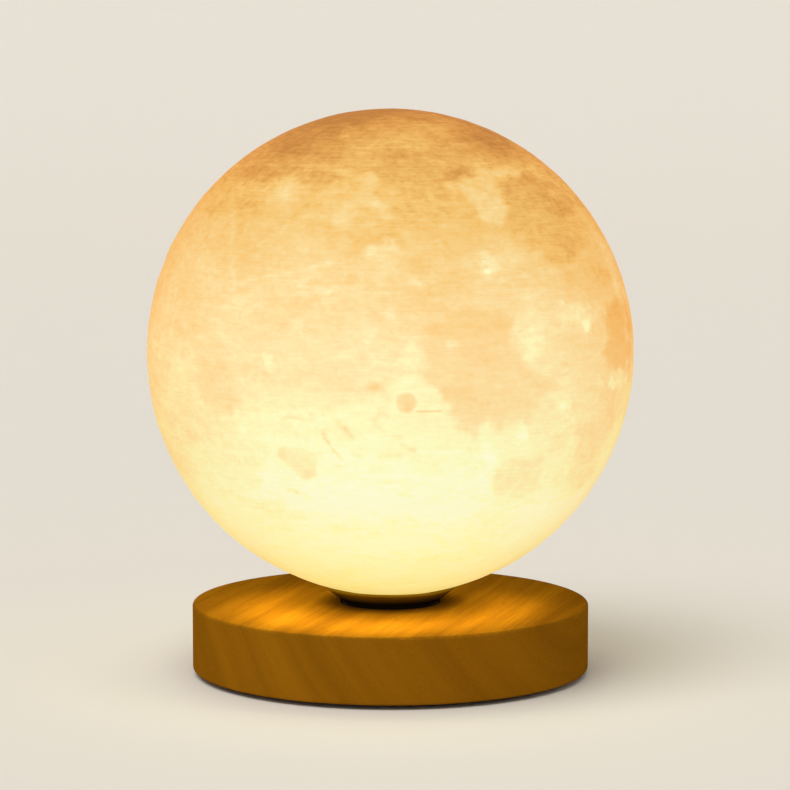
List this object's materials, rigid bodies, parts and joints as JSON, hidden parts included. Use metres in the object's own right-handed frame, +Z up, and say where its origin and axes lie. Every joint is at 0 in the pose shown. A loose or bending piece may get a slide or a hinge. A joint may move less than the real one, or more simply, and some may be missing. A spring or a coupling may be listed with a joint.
{
  "type": "rotating globe lamp",
  "caption": "Translucent globe lamp turning on a shallow wooden cup over a round wooden base, with a power socket and push button at the back.",
  "frame": {"origin": "on the floor under the turning axis, at the centre of the round base", "axes": "+Z up along the turning axis, -Y the front, +Y the back with the socket and the button, +X to the right seen from the front"},
  "size_m": [0.15, 0.15, 0.1747],
  "materials": {
    "wood": "satin oiled hardwood",
    "globe_print": "3-D printed translucent white plastic, lit warm from inside",
    "white_plastic": "moulded, fine matt",
    "dark_plastic": "moulded, fine matt",
    "gear_plastic": "low-friction moulded plastic",
    "frosted": "frosted light diffuser",
    "aluminium": "turned, bare",
    "steel": "bright steel",
    "bearing_steel": "ground and polished",
    "brass": "turned",
    "rubber": "soft, matt",
    "circuit_board": "solder mask",
    "white_board": "white solder mask",
    "light_chip": "phosphor",
    "wire": "insulated wire"
  },
  "bodies": {
    "base": {"wooden_base": "wood", "bottom_cover": "dark_plastic", "cover_screws": "steel", "rubber_feet": "rubber", "rear_panel": "dark_plastic", "socket_shell": "steel", "socket_tongue": "dark_plastic", "switch_body": "dark_plastic", "control_board": "circuit_board", "board_screws": "steel", "controller_chip": "dark_plastic", "capacitors": "aluminium", "wire_connectors": "white_plastic", "lamp_leads": "wire", "motor_lead": "wire", "motor_can": "steel", "motor_plate": "steel", "motor_bush": "brass", "motor_screws": "steel", "lamp_post": "aluminium", "post_screws": "steel", "post_clip": "steel", "upper_inner_race": "bearing_steel", "lower_inner_race": "bearing_steel", "heat_sink": "aluminium", "light_board": "white_board", "light_chips": "light_chip", "light_diffuser": "frosted"},
    "turntable": {"turntable_cup": "wood", "turntable_hub": "aluminium", "cup_screws": "steel", "drive_pins": "steel", "ring_gear": "gear_plastic", "gear_key": "steel", "gear_clip": "steel", "upper_outer_race": "bearing_steel", "lower_outer_race": "bearing_steel"},
    "globe": {"moon_globe": "globe_print", "globe_collar": "white_plastic"},
    "motor_pinion": {"motor_shaft": "steel", "pinion": "gear_plastic"},
    "bearing_cages": {"upper_balls": "bearing_steel", "upper_ball_cage": "brass", "lower_balls": "bearing_steel", "lower_ball_cage": "brass"},
    "button": {"power_button": "white_plastic"}
  },
  "joints": [
    {"name": "turntable_spin", "type": "hinge", "parent": "base", "child": "turntable", "pos_m": [0, 0, 0.022], "axis": [0, 0, -1], "continuous": true},
    {"name": "pinion_spin", "type": "hinge", "parent": "base", "child": "motor_pinion", "pos_m": [-0.03005, 0, 0.0151], "axis": [0, 0, -1], "continuous": true},
    {"name": "bearing_cage_spin", "type": "hinge", "parent": "base", "child": "bearing_cages", "pos_m": [0, 0, 0.0154], "axis": [0, 0, -1], "continuous": true},
    {"name": "globe_lift", "type": "slide", "parent": "turntable", "child": "globe", "axis": [0, 0, 1], "range_m": [0, 0.045]},
    {"name": "button_press", "type": "slide", "parent": "base", "child": "button", "axis": [0, -1, 0], "range_m": [0, 0.001], "stiffness_N_per_m": 800, "springref_m": -0.001}
  ],
  "couplings": [
    {"joint": "pinion_spin", "follows": "turntable_spin", "ratio": -4},
    {"joint": "bearing_cage_spin", "follows": "turntable_spin", "ratio": 0.54444}
  ]
}
